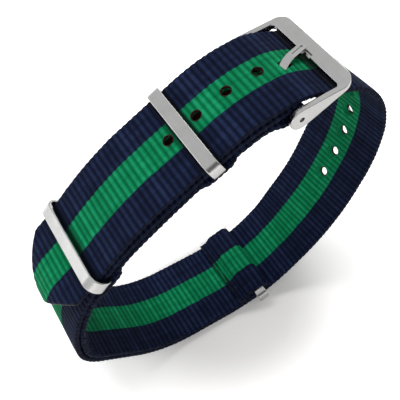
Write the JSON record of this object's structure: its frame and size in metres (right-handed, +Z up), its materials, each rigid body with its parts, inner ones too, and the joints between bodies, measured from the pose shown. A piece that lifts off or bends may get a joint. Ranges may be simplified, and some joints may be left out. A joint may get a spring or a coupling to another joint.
{
  "type": "watch strap",
  "caption": "Striped webbing watch strap with a pin buckle and steel keeper rings, fastened into a loop that stands upright.",
  "frame": {"origin": "middle of the bounding box, on the floor that the loop stands on", "axes": "+X runs along the loop towards the buckle's end bar, +Y across the webbing, +Z up"},
  "size_m": [0.08, 0.0238, 0.0729],
  "materials": {
    "striped_webbing": "ribbed nylon weave, navy with a green middle stripe",
    "brushed_steel": "satin brushed, with bright edges",
    "spring_steel": "plain bright steel"
  },
  "bodies": {
    "strap": {"main_strap": "striped_webbing", "short_strap": "striped_webbing", "spring_bar_tube": "spring_steel", "spring_bar_spring": "spring_steel"},
    "near_plunger": {"plunger_near": "spring_steel"},
    "far_plunger": {"plunger_far": "spring_steel"},
    "frame": {"buckle_frame": "brushed_steel"},
    "tongue": {"buckle_tongue": "brushed_steel"},
    "ring_by_buckle": {"buckle_keeper": "brushed_steel"},
    "ring_by_tail": {"tail_keeper": "brushed_steel"},
    "ring_by_wrist": {"wrist_keeper": "brushed_steel"}
  },
  "joints": [
    {"name": "near_plunger_press", "type": "slide", "parent": "strap", "child": "near_plunger", "axis": [0, 1, 0], "range_m": [0, 0.001], "stiffness_N_per_m": 800, "springref_m": -0.001, "deforming": ["spring_bar_spring"]},
    {"name": "far_plunger_press", "type": "slide", "parent": "strap", "child": "far_plunger", "axis": [0, -1, 0], "range_m": [0, 0.001], "stiffness_N_per_m": 800, "springref_m": -0.001, "deforming": ["spring_bar_spring"]},
    {"name": "frame_lift", "type": "hinge", "parent": "strap", "child": "frame", "pos_m": [0.0128, 0, 0.0685], "axis": [0, -1, 0], "range_deg": [0, 4]},
    {"name": "tongue_lift", "type": "hinge", "parent": "frame", "child": "tongue", "pos_m": [0.0128, 0, 0.0685], "axis": [0, -1, 0], "range_deg": [0, 3]},
    {"name": "buckle_ring_rock", "type": "hinge", "parent": "strap", "child": "ring_by_buckle", "pos_m": [-0.00378, 0, 0.06279], "axis": [0, -1, 0], "range_deg": [-6, 6]},
    {"name": "tail_ring_rock", "type": "hinge", "parent": "strap", "child": "ring_by_tail", "pos_m": [-0.02833, 0, 0.04462], "axis": [0, -1, 0], "range_deg": [-6, 6]},
    {"name": "wrist_ring_rock", "type": "hinge", "parent": "strap", "child": "ring_by_wrist", "pos_m": [0.01038, 0, 0.00525], "axis": [0, -1, 0], "range_deg": [-6, 6]}
  ]
}
